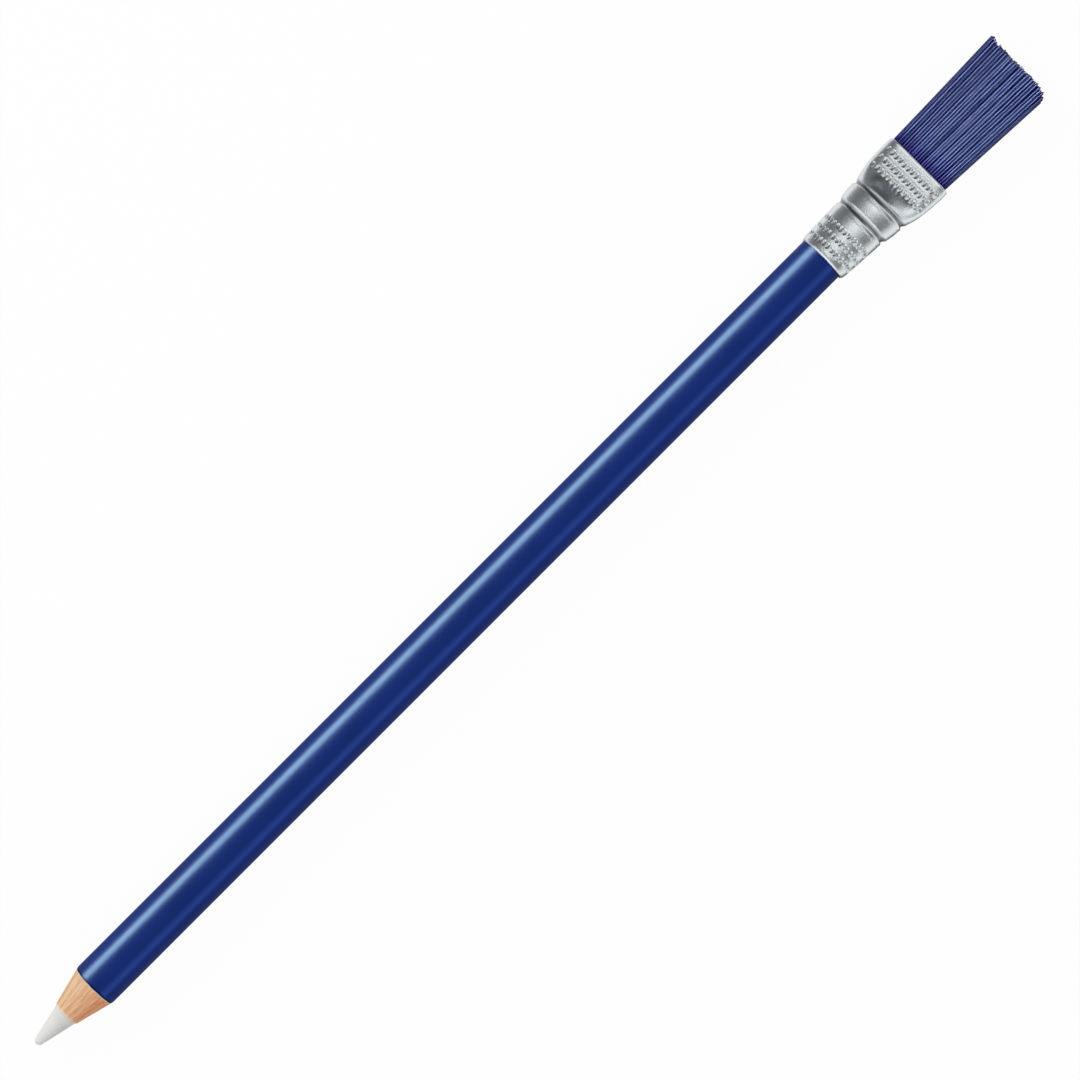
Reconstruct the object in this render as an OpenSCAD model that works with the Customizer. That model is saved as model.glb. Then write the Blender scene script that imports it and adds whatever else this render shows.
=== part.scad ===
// Eraser pencil with a brush: two glued wooden slats round a full-length eraser core,
// a primed and lacquered barrel, and a pressed metal ferrule that holds a flat brush.
// Lengths are millimetres. The pencil lies along X, with its eraser point towards -X.

/* [Barrel] */
// Outside diameter of the lacquered barrel
barrel_d = 7.5; // [6.5:0.1:9]
// Length of the lacquered barrel, from the sharpened cone to the ferrule
barrel_len = 153.45; // [60:0.1:200]
// Diameter of the eraser core
core_d = 4.1; // [2.5:0.1:5]
// Thickness of the white primer under the lacquer
primer_t = 0.06; // [0.03:0.01:0.15]
// Thickness of the coloured lacquer
lacquer_t = 0.09; // [0.05:0.01:0.2]
// Thickness of the glue film between the two slats
film_t = 0.05; // [0.02:0.01:0.2]
// Depth to which the wood is turned down inside the ferrule
tenon_cut = 0.3; // [0.1:0.05:0.6]

/* [Sharpened point] */
// Half angle of the cone cut in the wood, in degrees
wood_cone_angle = 14.4; // [10:0.1:25]
// Half angle of the eraser's own cone, in degrees
core_cone_angle = 12.5; // [8:0.1:20]
// Radius of the rounded eraser tip
tip_r = 0.73; // [0.3:0.01:1.1]
// How far inside the wood's front edge the eraser's cone begins
core_recess = 0.4; // [0.1:0.05:1]

/* [Ferrule] */
// Wall of the pressed metal
wall = 0.35; // [0.2:0.01:0.5]
// Gap between the barrel and the ferrule's rim
rim_gap = 0.1; // [0.05:0.01:0.3]
// Length of the round socket that grips the pencil
socket_len = 7.65; // [5:0.05:15]
// Growth of the socket's radius from its rim to the first groove
socket_rise = 0.36; // [0.1:0.01:0.8]
// Width of each pressed groove
groove_w = 1.2; // [0.6:0.05:2]
// Depth of each pressed groove
groove_depth = 0.24; // [0.1:0.01:0.4]
// Length of the plain band between the grooves
band_len = 2.5; // [1:0.1:6]
// Step in radius across a groove, from the socket up to the band
band_step = 0.2; // [0.05:0.01:0.6]
// Growth of the band's radius from one groove to the other
band_rise = 0.27; // [0.1:0.01:0.6]
// Length of the flared and flattened end
flare_len = 7.65; // [6:0.05:14]
// How much wider than the band the mouth is, at each side
mouth_spread = 0.92; // [0.3:0.01:2]
// Outside thickness of the flattened mouth
mouth_t = 4.8; // [3.6:0.05:7]
// Length of the ramp from the round band down to the flats
ramp_len = 2.7; // [2:0.1:5]

/* [Stamped marks] */
// Rows of marks on the socket and on each flat
mark_rows = 3; // [1:1:3]
// Distance between rows
mark_row_pitch = 1.6; // [1.2:0.05:1.8]
// Distance from the rim or the mouth to the nearest row
mark_edge = 1.5; // [1:0.05:2]
// Distance between marks in a row
mark_pitch = 0.8; // [0.6:0.05:1.5]
// Length of a mark along the pencil
mark_len = 0.9; // [0.4:0.05:1]
// Width of a mark
mark_w = 0.46; // [0.2:0.02:0.55]
// Depth of a mark
mark_depth = 0.12; // [0.05:0.01:0.15]

/* [Brush] */
// Free length of the longest bristles
bristle_len = 21.65; // [10:0.1:40]
// Thickness of one bristle
bristle_d = 0.26; // [0.18:0.01:0.5]
// Gap between bristles at their roots
bristle_gap = 0.08; // [0.04:0.01:0.2]
// Splay of the outermost bristles across the brush's width, in degrees
splay_w = 3.1; // [0:0.1:8]
// Splay of the outermost bristles across the brush's thickness, in degrees
splay_t = 0.7; // [0:0.1:1.5]
// Lean of the whole brush towards its trimmed corner, in degrees
brush_lean = 1.2; // [0:0.1:5]
// How much shorter the bristles are at the trimmed corner
end_slant = 1.6; // [0:0.1:4]
// Unevenness of the bristle ends
end_scatter = 0.5; // [0:0.05:1.5]
// Gap between the bristles' rounded heel and its seat
heel_gap = 0.06; // [0.03:0.01:0.15]

/* [Hidden] */
// Side clearance of the heel inside the mouth
mouth_gap = 0.08;
// Room that the heel keeps at the mouth's rounded ends
mouth_end_gap = 0.12;
// Gap left between round surfaces that are bonded together
bond_gap = 0.05;
// Gap left between the two coats of paint
coat_gap = 0.1;
// How far the filler rises round the heel
seat_wrap = 0.83;
// Depth of the glue's front edge inside the ferrule's rim
glue_recess = 0.3;
// How far the heel's round runs past its outer rows
heel_margin = 0.06;
// Share of a groove over which the ramp to the flats begins
ramp_lead = 0.3;
// Height of the ramp's start over the band
ramp_rise = 0.07;
// How strongly the ramp curves: 1 is a straight ramp
ramp_curve = 1.3;
// How strongly the cut of the bristle ends curves: 1 is a straight slant
end_curve = 4;
// Bare margin between the outer marks and the sides of a flat
mark_margin = 0.5;
// Distance by which a cutting shape runs past what it cuts
overrun = 1;

tip_steps = 8;
groove_steps = 8;
flare_steps = 9;
ramp_steps = 8;

// Barrel, from the outside in
barrel_r = barrel_d / 2;
lacquer_bore_r = barrel_r - lacquer_t;
primer_r = lacquer_bore_r - coat_gap;
primer_bore_r = primer_r - primer_t;
wood_r = primer_bore_r - bond_gap;
tenon_r = wood_r - tenon_cut;
core_r = core_d / 2;
wood_bore_r = core_r + bond_gap;

// Places along the pencil, measured from the eraser's tip
core_apex = tip_r - tip_r / sin(core_cone_angle);
core_cone_end = core_apex + core_r / tan(core_cone_angle);
wood_front = core_cone_end - core_recess;
rim_x = cone_x(barrel_r) + barrel_len;
blank_end = rim_x + socket_len;

// Ferrule, with places along it measured from its rim
rim_r = barrel_r + rim_gap + wall;
socket_top_r = rim_r + socket_rise;
band_start_r = socket_top_r + band_step;
band_r = band_start_r + band_rise;
mouth_r = band_r + mouth_spread;
band_x = socket_len + groove_w;
band_end_x = band_x + band_len;
flare_x = band_end_x + groove_w;
flare_r = band_r + band_step / 2;
ferrule_len = flare_x + flare_len;
ramp_x = flare_x - ramp_lead * groove_w;
ramp_drop = band_r + ramp_rise - mouth_t / 2;
flat_half_w = sqrt(mouth_r * mouth_r - mouth_t * mouth_t / 4);
mark_r = (mark_w * mark_w / 4 + mark_depth * mark_depth) / (2 * mark_depth);

// Brush
mouth_x = rim_x + ferrule_len;
heel_r = mouth_t / 2 - wall - mouth_gap;
root_half_w = mouth_r - wall - mouth_end_gap;
bristle_pitch = bristle_d + bristle_gap;
row_count = floor(2 * (heel_r - heel_margin) / bristle_pitch);

// The finished pencil
overall_len = mouth_x + bristle_len;
axis_z = band_r;

function between(a, b, t) = a + (b - a) * t;

// Where the sharpener's cone reaches radius r
function cone_x(r) = wood_front + (r - wood_bore_r) / tan(wood_cone_angle);

// Outline of a groove, from radius a to radius b
function groove_outline(x, a, b) = [
    for (i = [0:groove_steps])
        let (t = i / groove_steps)
        [between(a, b, t) - groove_depth * (1 - cos(360 * t)) / 2, x + groove_w * t]
];

// Outline of the flare, which opens quickly and then runs nearly straight
flare_outline = [
    for (i = [1:flare_steps])
        let (t = i / flare_steps)
        [between(flare_r, mouth_r, 1 - pow(1 - t, 3)), flare_x + flare_len * t]
];

// The ferrule's outside as [radius, distance from the rim]
ferrule_outline = concat(
    [[rim_r, 0]],
    groove_outline(socket_len, socket_top_r, band_start_r),
    groove_outline(band_end_x, band_r, flare_r),
    flare_outline
);

// One side of the flattened outline as [half thickness, distance from the rim]
ramp_outline = [
    for (i = [0:ramp_steps])
        let (t = i / ramp_steps)
        [mouth_t / 2 + ramp_drop * pow(1 - t, ramp_curve), ramp_x + ramp_len * t]
];

// Puts a shape that stands on Z at the eraser's tip into the pencil's place
module along_pencil(x = 0) {
    translate([x - overall_len / 2, 0, axis_z])
        rotate([0, 90, 0])
            children();
}

// A solid of the ferrule's outline, drawn in by inset, and run past both ends by past
module ferrule_solid(inset, past) {
    round_side = [for (p = ferrule_outline) [p[0] - inset, p[1]]];
    flat_side = [for (p = ramp_outline) [p[0] - inset, p[1]]];
    front = past > 0 ? [[rim_r - inset, -past]] : [];
    back = past > 0 ? [[mouth_r - inset, ferrule_len + past]] : [];
    flat_edge = concat(
        [[2 * mouth_r, -past - overrun], [2 * mouth_r, ramp_x]],
        flat_side,
        [[mouth_t / 2 - inset, ferrule_len + past + overrun]]
    );
    count = len(flat_edge);
    far_edge = [for (i = [1:count]) [-flat_edge[count - i][0], flat_edge[count - i][1]]];
    intersection() {
        rotate_extrude()
            polygon(concat([[0, -past]], front, round_side, back, [[0, ferrule_len + past]]));
        rotate([90, 0, 0])
            linear_extrude(height = 4 * mouth_r, center = true)
                polygon(concat(flat_edge, far_edge));
    }
}

// A round pit for one mark, sunk into a surface at height h above the axis
module mark(h) {
    translate([h + mark_r - mark_depth, 0, -mark_len / 2])
        cylinder(r = mark_r, h = mark_len);
}

// Rows of marks round the socket
module socket_marks() {
    for (row = [0:mark_rows - 1]) {
        x = mark_edge + row * mark_row_pitch;
        r = between(rim_r, socket_top_r, x / socket_len);
        count = floor(2 * PI * r / mark_pitch);
        for (i = [0:count - 1])
            rotate([0, 0, (i + row / 2) * 360 / count])
                translate([0, 0, x])
                    mark(r);
    }
}

// Rows of marks across one flat
module flat_marks() {
    count = floor(2 * (flat_half_w - mark_margin) / mark_pitch);
    for (row = [0:mark_rows - 1], i = [0:count - 1])
        translate([0, (i - (count - 1) / 2) * mark_pitch, ferrule_len - mark_edge - row * mark_row_pitch])
            mark(mouth_t / 2);
}

module eraser_core() {
    tip = [
        for (i = [0:tip_steps])
            let (a = i / tip_steps * (90 - core_cone_angle))
            [tip_r * sin(a), tip_r - tip_r * cos(a)]
    ];
    color([0.9, 0.9, 0.88])
        along_pencil()
            rotate_extrude()
                polygon(concat(tip, [[core_r, core_cone_end], [core_r, blank_end], [0, blank_end]]));
}

// The wooden round, with its sharpened cone, its groove for the core and its tenon for the ferrule
module wood_round() {
    along_pencil()
        rotate_extrude()
            polygon([
                [wood_bore_r, wood_front],
                [wood_r, cone_x(wood_r)],
                [wood_r, rim_x],
                [tenon_r, rim_x],
                [tenon_r, blank_end],
                [wood_bore_r, blank_end]
            ]);
}

// Everything on one side of the glue film
module half_space(side) {
    translate([-overall_len, -2 * barrel_d, axis_z + (side > 0 ? film_t / 2 : -2 * barrel_d - film_t / 2)])
        cube([2 * overall_len, 4 * barrel_d, 2 * barrel_d]);
}

module slat(side) {
    color([0.87, 0.68, 0.5])
        intersection() {
            wood_round();
            half_space(side);
        }
}

module upper_slat() {
    slat(1);
}

module lower_slat() {
    slat(-1);
}

module slat_glue() {
    color([0.85, 0.8, 0.65])
        difference() {
            wood_round();
            half_space(1);
            half_space(-1);
        }
}

// One coat of paint between two radii, cut off at the front by the sharpener
module coat(inner_r, outer_r) {
    along_pencil()
        rotate_extrude()
            polygon([[inner_r, cone_x(inner_r)], [outer_r, cone_x(outer_r)], [outer_r, rim_x], [inner_r, rim_x]]);
}

module primer_coat() {
    color([0.95, 0.94, 0.9])
        coat(primer_bore_r, primer_r);
}

module lacquer_coat() {
    color([0.08, 0.16, 0.45])
        coat(lacquer_bore_r, barrel_r);
}

module ferrule() {
    color([0.78, 0.79, 0.8])
        along_pencil(rim_x)
            difference() {
                ferrule_solid(0, 0);
                ferrule_solid(wall, overrun);
                socket_marks();
                flat_marks();
                rotate([0, 0, 180])
                    flat_marks();
            }
}

// The glue between the wood's tenon and the socket
module ferrule_glue() {
    color([0.8, 0.72, 0.5])
        along_pencil(rim_x)
            rotate_extrude()
                polygon([
                    [tenon_r + bond_gap, glue_recess],
                    [rim_r - wall - bond_gap, glue_recess],
                    [socket_top_r - wall - bond_gap, socket_len],
                    [tenon_r + bond_gap, socket_len]
                ]);
}

// The set filler that holds the roots, with a round seat for the heel of the bristles
module root_filler() {
    from = band_end_x + groove_w / 2;
    to = ferrule_len - heel_r - heel_gap + seat_wrap;
    color([0.3, 0.3, 0.36])
        along_pencil(rim_x)
            difference() {
                intersection() {
                    ferrule_solid(wall + bond_gap, overrun);
                    translate([-2 * mouth_r, -2 * mouth_r, from])
                        cube([4 * mouth_r, 4 * mouth_r, to - from]);
                }
                translate([0, 0, ferrule_len])
                    rotate([90, 0, 0])
                        cylinder(r = heel_r + heel_gap, h = 4 * mouth_r, center = true);
            }
}

// Half width that a row at height z may take inside the rounded mouth
function row_half_w(z) = sqrt(pow(root_half_w, 2) - pow(abs(z) + bristle_pitch / 2, 2));

// Bristles in a row: odd and even rows alternate, so that they stand in each other's gaps
function row_bristles(row, z) = row % 2 == 0
    ? 2 * floor(row_half_w(z) / bristle_pitch)
    : 2 * floor(row_half_w(z) / bristle_pitch - 0.5) + 1;

// Depth of the round heel below the mouth at height z
function heel_depth(z) = sqrt(heel_r * heel_r - z * z);

// Corners of one bristle's square section, in turning order
function square_corners(x, y, z, half) = [
    [x, y - half, z - half], [x, y + half, z - half], [x, y + half, z + half], [x, y - half, z + half]
];

// One row of square bristles, fused to its own slice of the heel.
// Each bristle has eight points on its cell of the slice and eight of its own.
module bristle_row(row) {
    z = (row - (row_count + 1) / 2) * bristle_pitch;
    count = row_bristles(row, z);
    low = z - bristle_pitch / 2;
    high = z + bristle_pitch / 2;
    scatter = rands(0, end_scatter, count, row);

    // Four points on each line between cells: low and high on top, low and high below
    lines = [
        for (i = [0:count])
            let (y = (i - count / 2) * bristle_pitch)
            each [[0, y, low], [0, y, high], [-heel_depth(low), y, low], [-heel_depth(high), y, high]]
    ];
    bristles = [
        for (i = [0:count - 1])
            let (
                y = (i - (count - 1) / 2) * bristle_pitch,
                across = y / root_half_w,
                reach = bristle_len - scatter[i] - end_slant * pow((1 - across) / 2, end_curve),
                tip_y = y + reach * (tan(splay_w) * across - tan(brush_lean)),
                tip_z = z + reach * tan(splay_t) * z / heel_r
            )
            each concat(
                square_corners(0, y, z, bristle_d / 2),
                square_corners(reach, tip_y, tip_z, bristle_d / 2)
            )
    ];
    first = len(lines);
    faces = [
        for (i = [0:count - 1])
            let (
                a = 4 * i,
                b = 4 * i + 4,
                s = first + 8 * i,
                cell = [a, b, b + 1, a + 1]
            )
            each concat(
                [for (k = [0:3]) let (n = (k + 1) % 4) each [
                    [cell[k], s + k, cell[n]],
                    [cell[n], s + k, s + n],
                    [s + k, s + k + 4, s + n],
                    [s + n, s + k + 4, s + n + 4]
                ]],
                [[s + 4, s + 7, s + 6], [s + 4, s + 6, s + 5]],
                [[a + 2, b + 3, a + 3], [a + 2, b + 2, b + 3]],
                [[a, b, a + 2], [b, b + 2, a + 2]],
                [[a + 1, a + 3, b + 1], [b + 1, a + 3, b + 3]]
            )
    ];
    last = 4 * count;
    ends = [
        [0, 2, 1], [1, 2, 3],
        [last, last + 1, last + 2], [last + 1, last + 3, last + 2]
    ];
    color([0.13, 0.17, 0.45])
        translate([mouth_x - overall_len / 2, 0, axis_z])
            polyhedron(points = concat(lines, bristles), faces = concat(faces, ends));
}

eraser_core();
upper_slat();
lower_slat();
slat_glue();
primer_coat();
lacquer_coat();
ferrule();
ferrule_glue();
root_filler();
for (row = [1:row_count])
    bristle_row(row);
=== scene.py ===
"""Looks of an eraser pencil with a brush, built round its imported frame.

Sizes are millimetres until a mesh is made. The pencil lies along X, with its eraser point
towards -X, and its flat brush lies level.
"""

import math

import bmesh
import bpy
import numpy as np
from mathutils import Matrix, Vector, noise


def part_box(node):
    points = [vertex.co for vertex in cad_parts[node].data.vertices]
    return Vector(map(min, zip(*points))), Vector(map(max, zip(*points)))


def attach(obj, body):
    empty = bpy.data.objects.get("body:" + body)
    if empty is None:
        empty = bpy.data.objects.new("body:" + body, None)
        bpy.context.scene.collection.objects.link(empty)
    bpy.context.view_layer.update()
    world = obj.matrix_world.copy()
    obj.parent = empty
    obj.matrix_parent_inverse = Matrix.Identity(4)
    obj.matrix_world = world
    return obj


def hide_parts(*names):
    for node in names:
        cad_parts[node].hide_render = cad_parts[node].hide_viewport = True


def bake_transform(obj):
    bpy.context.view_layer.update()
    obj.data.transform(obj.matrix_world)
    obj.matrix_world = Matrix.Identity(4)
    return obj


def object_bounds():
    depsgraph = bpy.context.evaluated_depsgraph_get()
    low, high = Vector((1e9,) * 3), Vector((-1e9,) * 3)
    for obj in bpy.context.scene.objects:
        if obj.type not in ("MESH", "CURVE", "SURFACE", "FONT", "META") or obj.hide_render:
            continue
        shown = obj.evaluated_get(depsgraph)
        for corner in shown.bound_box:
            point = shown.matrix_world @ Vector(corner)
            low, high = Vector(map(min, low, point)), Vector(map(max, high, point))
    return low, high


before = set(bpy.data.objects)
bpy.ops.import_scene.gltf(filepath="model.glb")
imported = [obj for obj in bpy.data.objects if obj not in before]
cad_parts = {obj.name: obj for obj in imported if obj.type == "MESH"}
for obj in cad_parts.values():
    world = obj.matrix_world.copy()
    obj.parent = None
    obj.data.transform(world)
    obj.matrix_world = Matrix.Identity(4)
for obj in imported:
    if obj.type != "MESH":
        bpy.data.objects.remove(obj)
cad_low, cad_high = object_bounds()

MM = 0.001


def box_mm(node):
    """Lowest and highest corner of a node, in millimetres."""
    low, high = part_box(node)
    return low / MM, high / MM


# Sizes and places that the frame gives
core_low, core_high = box_mm("eraser_core")
lacquer_low, lacquer_high = box_mm("lacquer_coat")
ferrule_low, ferrule_high = box_mm("ferrule")
ROW_START = "bristle_row_"
ROW_COUNT = sum(name.startswith(ROW_START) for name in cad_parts)
ROW_NAMES = [f"{ROW_START}{number}" for number in range(1, ROW_COUNT + 1)]
BRISTLE_END = max(box_mm(row)[1].x for row in ROW_NAMES)

AXIS_Z = (lacquer_low.z + lacquer_high.z) / 2
BARREL_R = (lacquer_high.z - lacquer_low.z) / 2
CORE_R = (core_high.z - core_low.z) / 2
TIP_X = core_low.x
BLANK_END = core_high.x
WOOD_FRONT = box_mm("upper_slat")[0].x
RIM_X = ferrule_low.x
MOUTH_X = ferrule_high.x
FERRULE_LEN = MOUTH_X - RIM_X
MOUTH_R = ferrule_high.y
BAND_R = (ferrule_high.z - ferrule_low.z) / 2

# Coats, and the edge that the sharpener left on them
LACQUER_T = 0.09
PRIMER_T = 0.05
FILM_T = 0.05
LACQUER_BORE = BARREL_R - LACQUER_T
WOOD_R = LACQUER_BORE - PRIMER_T
WOOD_BORE = CORE_R + FILM_T
CONE_SLOPE = (LACQUER_BORE - WOOD_BORE) / (lacquer_low.x - WOOD_FRONT)
COAT_COLUMNS = 160
COAT_END_SPAN = 2.0
CUT_LIP = 0.02
RIM_TUCK = 0.3
# Waves of the cut edge: height, waves in a turn and starting angle
CUT_WAVES = ((0.05, 1, 0.7), (0.025, 3, 2.0), (0.012, 11, 0.0))
CUT_REACH = 1.0

# Wooden slats; layers of noise are a height, a scale and a seed
TENON_R = 3.15
SLAT_COLUMNS = 150
CONE_RINGS = 64
BORE_START = 3.0
CHIPPED = 0.2
CHIP_X = WOOD_FRONT + CHIPPED
CHIP_R = WOOD_BORE + CHIPPED * CONE_SLOPE
CHIP_SKEW = 0.2
CHIP_SKEW_LEVEL = 0.25
CHIP_BACK = 0.02
CHIP_DROP = 0.03
CHIP_ROUND = 0.015
CHIP_FADE = 0.5
COAT_FADE = 0.3
MARGIN = 0.01
GRAIN_R = 3.4
GRAIN_STRETCH = 0.12
GRAIN_RIDGES = ((0.010, 5.0, 3), (0.008, 11.0, 4))
CHIP_RAGS = ((0.08, 2.0, 5), (0.05, 7.0, 6))

# Eraser
TIP_R = 0.73
TIP_RINGS = 16
CORE_CONE = math.radians(12.5)
CORE_CONE_RINGS = 40
CORE_COLUMNS = 120
WORN_START = 1.0
WORN_LEN = 5.0
WORN_R = 0.4
WORN_DEPTH = 0.02
WORN_HOLLOWS = ((0.035, 0.8, 8), (0.010, 2.6, 9))

# Ferrule, with places along it measured from its rim
WALL = 0.35
RIM_GAP = 0.1
RIM_R = BARREL_R + RIM_GAP + WALL
RIM_CURL = 1.0
RIM_CURL_IN = 0.3
SOCKET_LEN = 7.65
SOCKET_FLARE = 0.36
SOCKET_TOP_R = RIM_R + SOCKET_FLARE
GROOVE_W = 1.2
GROOVE_DEPTH = 0.32
GROOVE_BIAS = 0.75
BAND_STEP = 0.2
BAND_START_R = SOCKET_TOP_R + BAND_STEP
BAND_X = SOCKET_LEN + GROOVE_W
BAND_LEN = 2.5
BAND_END = BAND_X + BAND_LEN
BAND_CROWN = 0.05
FLARE_X = BAND_END + GROOVE_W
FLARE_STEP = 0.1
FLARE_R = BAND_R + FLARE_STEP
FLARE_CURVE = 3
MOUTH_T = 4.8
RAMP_EARLY = 0.36
RAMP_X = FLARE_X - RAMP_EARLY
RAMP_LEN = 2.7
RAMP_CURVE = 1.1
FLAT_HALF_W = math.sqrt(MOUTH_R**2 - (MOUTH_T / 2) ** 2)
FLAT_LEN = FERRULE_LEN - RAMP_X - RAMP_LEN
FLAT_CROWN = 0.06
FLAT_TAPER = 0.28
CORNER_R = 2.15
LIP_ROUND = 0.14
LIP_LEN = 0.55
LIP_RISE = 0.15
LIP_SIDE_DROP = 0.06
CREASE_BACK = 0.4
CREASES = (SOCKET_LEN - CREASE_BACK, BAND_END - CREASE_BACK)
CREASE_DEPTH = 0.05
CREASE_W = 0.16
METAL_WAVES = ((0.012, 0.42, 12), (0.006, 1.1, 13))
METAL_DROP = 0.02
DENT_COUNT = 70
DENT_MARGIN = 0.5
DENT_DEPTH = (0.006, 0.02)
DENT_R = (0.09, 0.2)
FERRULE_SEED = 21
FERRULE_COLUMNS = 360
FERRULE_SHARP = 50.0
INNER_RINGS = 30
SECTION_POINTS = 1441
FINE_STEP = 0.08
PLAIN_STEP = 0.15
TINY = 1e-6

# Slight lean of the ferrule and the brush towards -Y, from the rim on; the ferrule sits off centre too
HEAD_LEAN = math.tan(math.radians(1.15))
SEAT_SHIFT = 0.1

# Stamped marks
MARK_ROWS = 3
MARK_ROW_PITCH = 1.63
MARK_EDGE = 1.63
MARK_LEN = 0.98
MARK_W = 0.62
MARK_DEPTH = 0.19
MARK_SPAN = MARK_EDGE + (MARK_ROWS - 1) * MARK_ROW_PITCH + MARK_LEN
MARK_SQUARENESS = 2.5
MARK_STEEPNESS = 0.85
# Share of a mark's depth that darkens the metal as painted shade
MARK_SHADE = 0.1
BURR_HEIGHT = 0.015
BURR_REACH = 1.15
BURR_W = 0.2
SOCKET_MARK_PITCH = 0.74
SOCKET_MARK_SLANT = -0.35
SOCKET_MARK_SWING = -0.55
SOCKET_MARK_FORCE = (0.7, 1.15)
FLAT_MARK_PITCH = 0.82
FLAT_MARK_MARGIN = 0.1
FLAT_MARK_SLANT = 0.1
FLAT_MARK_FORCE = (0.75, 1.1)

# Brush
ROW_PITCH = 0.34
INNER_PITCH = 0.32
OUTER_COUNT = 22
OUTER_SCATTER = 0.025
BRISTLE_R = 0.15
BRISTLE_R_SPAN = (0.95, 1.03)
BRISTLE_LEN = BRISTLE_END - MOUTH_X
BRISTLE_SIDES = 10
BRISTLE_RINGS = 15
BRISTLE_SEED = 100
BRISTLE_SHARP = 50.0
HEEL_R = 1.97
ROOT_HALF_W = 5.48
ROOT_DEPTH = 1.5
ROOT_RING = 0.4
CORNER_TUCK = 0.45
TUCK_START = 0.6
TUCK_SPAN = 0.25
SPLAY_W = math.tan(math.radians(2.27))
SPLAY_T = math.tan(math.radians(0.7))
BACK_LEAN = math.tan(math.radians(0.5))
SWAY = 0.03
BOW = 0.012
END_SCATTER = 0.5
END_SLANT = 1.4
END_CURVE = 14
CORNER_REACH = 0.45
CORNER_SPAN = 0.3
TRIM_SLOPE = 0.5
# Tones of the bristles: the outer rows' differ at random; the inner rows' are darkened as painted shade, a
# little less at each row's edges
OUTER_TONES = (0.5, 1.0)
EDGE_SHADE_TONES = (0.1, 0.35)
INNER_SHADE_TONES = (0.0, 0.1)
BRIGHT_SHARE = 0.87
DULL_TONE = 0.4


def cone_x(radius):
    """Where the sharpener's cone reaches a radius."""
    return WOOD_FRONT + (radius - WOOD_BORE) / CONE_SLOPE


def between(a, b, t):
    """A value on the way from a, where t is 0, to b, where t is 1."""
    return a + (b - a) * t


def smooth(t):
    """Eases from 0 to 1."""
    t = np.clip(t, 0.0, 1.0)
    return t * t * (3 - 2 * t)


def noise_at(points, scale, seed):
    """Smooth noise from -1 to 1 at points in millimetres; scale is in waves per millimetre."""
    shift = Vector((17.3 * seed, 5.1 * seed, 9.7 * seed))
    values = [noise.noise(Vector(p) * scale + shift) for p in points.reshape(-1, 3)]
    return np.array(values).reshape(points.shape[:-1])


def layered(points, layers):
    """Layers of noise added up, each one given by its height, scale and seed."""
    return sum(height * noise_at(points, scale, seed) for height, scale, seed in layers)


# Meshes


def grid_faces(rows, columns, close_rows=True, close_columns=True):
    """Quads of a grid of points, which may close on itself either way."""
    r = np.arange(rows if close_rows else rows - 1)
    c = np.arange(columns if close_columns else columns - 1)
    r, c = np.meshgrid(r, c, indexing="ij")
    r2 = (r + 1) % rows
    c2 = (c + 1) % columns
    quads = np.stack([r * columns + c, r * columns + c2, r2 * columns + c2, r2 * columns + c], axis=-1)
    return quads.reshape(-1, 4).tolist()


def make_piece(name, points, faces, sharp_angle=35.0, attributes=None):
    """A smooth-shaded mesh object from points in millimetres, with its normals outwards."""
    mesh = bpy.data.meshes.new(name)
    mesh.from_pydata((points.reshape(-1, 3) * MM).tolist(), [], faces)
    for key, values in (attributes or {}).items():
        layer = mesh.attributes.new(key, "FLOAT", "POINT")
        layer.data.foreach_set("value", np.asarray(values, np.float32).ravel())
    work = bmesh.new()
    work.from_mesh(mesh)
    bmesh.ops.remove_doubles(work, verts=work.verts, dist=1e-8)
    bmesh.ops.recalc_face_normals(work, faces=work.faces)
    work.to_mesh(mesh)
    work.free()
    mesh.shade_smooth()
    mesh.set_sharp_from_angle(angle=math.radians(sharp_angle))
    piece = bpy.data.objects.new(name, mesh)
    bpy.context.scene.collection.objects.link(piece)
    return piece


def turned(profile, angles, shift=None):
    """Points of a profile of (x, radius) turned round the pencil's axis, as rows by columns."""
    x, r = np.asarray(profile, float).T
    x = np.repeat(x[:, None], len(angles), axis=1)
    r = np.repeat(r[:, None], len(angles), axis=1)
    if shift is not None:
        dx, dr = shift(x, r, np.broadcast_to(angles, x.shape))
        x = x + dx
        r = np.maximum(r + dr, 0.0)
    return np.stack([x, r * np.cos(angles), AXIS_Z + r * np.sin(angles)], axis=-1)


def full_turn(columns):
    """Evenly spaced angles round a circle."""
    return np.linspace(0, 2 * math.pi, columns, endpoint=False)


def cut_wander(angles):
    """How far the sharpened edge of the coats wanders along the pencil."""
    return sum(height * np.sin(waves * angles + start) for height, waves, start in CUT_WAVES)


def wander_front(x, r, angles):
    """Moves the sharpened front of a coat along the pencil, and leaves the rest in place."""
    near_cut = x < cone_x(BARREL_R) + CUT_REACH
    return np.where(near_cut, cut_wander(angles), 0.0), np.zeros_like(r)


def make_lacquer():
    """The coloured coat; its attribute cut is 1 on the face that the sharpener left."""
    profile = [
        (cone_x(LACQUER_BORE), LACQUER_BORE),
        (cone_x(BARREL_R - CUT_LIP), BARREL_R - CUT_LIP),
        (cone_x(BARREL_R) + CUT_LIP, BARREL_R - CUT_LIP / 4),
        (cone_x(BARREL_R) + 4 * CUT_LIP, BARREL_R),
        (cone_x(BARREL_R) + COAT_END_SPAN, BARREL_R),
        (RIM_X - COAT_END_SPAN, BARREL_R),
        (RIM_X + RIM_TUCK, BARREL_R),
        (RIM_X + RIM_TUCK, LACQUER_BORE),
        (cone_x(BARREL_R) + COAT_END_SPAN, LACQUER_BORE),
    ]
    points = turned(profile, full_turn(COAT_COLUMNS), wander_front)
    cut = np.zeros(points.shape[:2])
    cut[:2] = 1.0
    return make_piece("lacquer", points, grid_faces(len(profile), COAT_COLUMNS), attributes={"cut": cut})


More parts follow.
